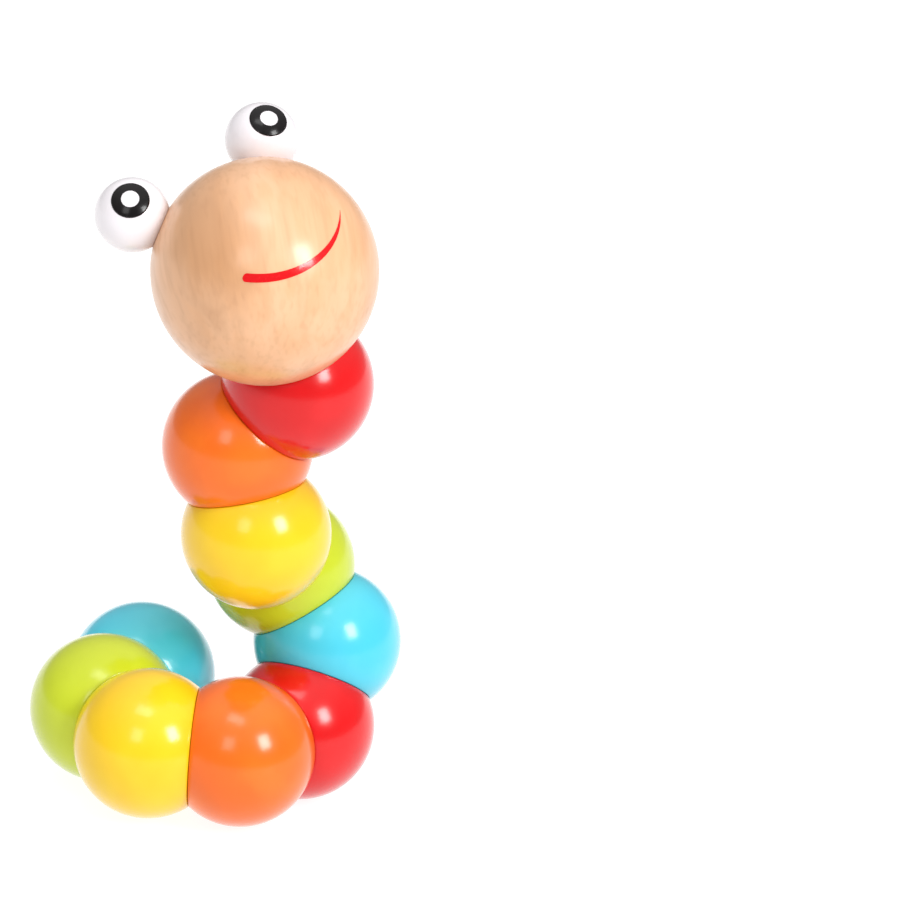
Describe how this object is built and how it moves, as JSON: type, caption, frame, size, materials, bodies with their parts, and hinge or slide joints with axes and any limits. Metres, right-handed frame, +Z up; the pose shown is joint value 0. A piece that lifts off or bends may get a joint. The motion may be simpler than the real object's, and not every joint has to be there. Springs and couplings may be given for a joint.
{
  "type": "twisty snake puzzle",
  "caption": "Wooden twisty snake puzzle: coloured balls with flats and a head with eyes, joined face to face by swivels and twisted into a standing curl.",
  "frame": {"origin": "on the table, below the middle of the toy's box as it stands in its rest pose", "axes": "+Z up from the table; the face looks mostly towards -Y and the tail curls behind and to the left of the neck"},
  "size_m": [0.0834, 0.071, 0.1606],
  "materials": {
    "natural_beech": "clear gloss varnish over pale beech",
    "white_lacquer": "gloss white lacquer over wood",
    "dowel_beech": "bare glued wood",
    "black_ink": "pad-printed gloss ink",
    "red_ink": "pad-printed gloss ink",
    "swivel_nylon": "natural moulded nylon",
    "red_lacquer": "gloss red lacquer over wood",
    "orange_lacquer": "gloss orange lacquer over wood",
    "yellow_lacquer": "gloss yellow lacquer over wood",
    "green_lacquer": "gloss green lacquer over wood",
    "blue_lacquer": "gloss blue lacquer over wood"
  },
  "bodies": {
    "head": {"head": "natural_beech", "smile": "red_ink", "right_eye": "white_lacquer", "left_eye": "white_lacquer", "right_pupil": "black_ink", "left_pupil": "black_ink", "right_eye_dowel": "dowel_beech", "left_eye_dowel": "dowel_beech", "swivel_socket_1": "swivel_nylon"},
    "bead_1": {"bead_1": "red_lacquer", "swivel_pin_1": "swivel_nylon", "swivel_socket_2": "swivel_nylon"},
    "bead_2": {"bead_2": "orange_lacquer", "swivel_pin_2": "swivel_nylon", "swivel_socket_3": "swivel_nylon"},
    "bead_3": {"bead_3": "yellow_lacquer", "swivel_pin_3": "swivel_nylon", "swivel_socket_4": "swivel_nylon"},
    "bead_4": {"bead_4": "green_lacquer", "swivel_pin_4": "swivel_nylon", "swivel_socket_5": "swivel_nylon"},
    "bead_5": {"bead_5": "blue_lacquer", "swivel_pin_5": "swivel_nylon", "swivel_socket_6": "swivel_nylon"},
    "bead_6": {"bead_6": "red_lacquer", "swivel_pin_6": "swivel_nylon", "swivel_socket_7": "swivel_nylon"},
    "bead_7": {"bead_7": "orange_lacquer", "swivel_pin_7": "swivel_nylon", "swivel_socket_8": "swivel_nylon"},
    "bead_8": {"bead_8": "yellow_lacquer", "swivel_pin_8": "swivel_nylon", "swivel_socket_9": "swivel_nylon"},
    "bead_9": {"bead_9": "green_lacquer", "swivel_pin_9": "swivel_nylon", "swivel_socket_10": "swivel_nylon"},
    "bead_10": {"bead_10": "blue_lacquer", "swivel_pin_10": "swivel_nylon"}
  },
  "joints": [
    {"name": "bead_5_turn", "type": "hinge", "parent": "bead_6", "child": "bead_5", "pos_m": [0.02258, 0.00409, 0.02518], "axis": [0.2084, 0.579, 0.7883], "range_deg": [-10, 240]},
    {"name": "bead_4_turn", "type": "hinge", "parent": "bead_5", "child": "bead_4", "pos_m": [0.01881, 0.01129, 0.0418], "axis": [-0.5715, 0.1145, 0.8126], "continuous": true},
    {"name": "bead_3_turn", "type": "hinge", "parent": "bead_4", "child": "bead_3", "pos_m": [0.01023, 0.005, 0.05694], "axis": [-0.2558, -0.7201, 0.645], "continuous": true},
    {"name": "bead_2_turn", "type": "hinge", "parent": "bead_3", "child": "bead_2", "pos_m": [0.0048, -0.00109, 0.07354], "axis": [-0.267, 0.1334, 0.9544], "continuous": true},
    {"name": "bead_1_turn", "type": "hinge", "parent": "bead_2", "child": "bead_1", "pos_m": [0.00831, -0.00035, 0.09169], "axis": [0.6049, -0.0628, 0.7938], "continuous": true},
    {"name": "head_turn", "type": "hinge", "parent": "bead_1", "child": "head", "pos_m": [0.01182, -0.00395, 0.1095], "axis": [-0.2665, -0.284, 0.921], "continuous": true},
    {"name": "bead_7_turn", "type": "hinge", "parent": "bead_6", "child": "bead_7", "pos_m": [0.01417, -0.01021, 0.017], "axis": [-0.6018, -0.7986, 0], "range_deg": [-5, 220]},
    {"name": "bead_8_turn", "type": "hinge", "parent": "bead_7", "child": "bead_8", "pos_m": [-0.00246, -0.01832, 0.017], "axis": [-0.9998, 0.0175, 0], "range_deg": [-10, 240]},
    {"name": "bead_9_turn", "type": "hinge", "parent": "bead_8", "child": "bead_9", "pos_m": [-0.01879, -0.00963, 0.017], "axis": [-0.5736, 0.8192, 0], "continuous": true},
    {"name": "bead_10_turn", "type": "hinge", "parent": "bead_9", "child": "bead_10", "pos_m": [-0.02137, 0.00869, 0.017], "axis": [0.3256, 0.9455, 0], "continuous": true}
  ]
}
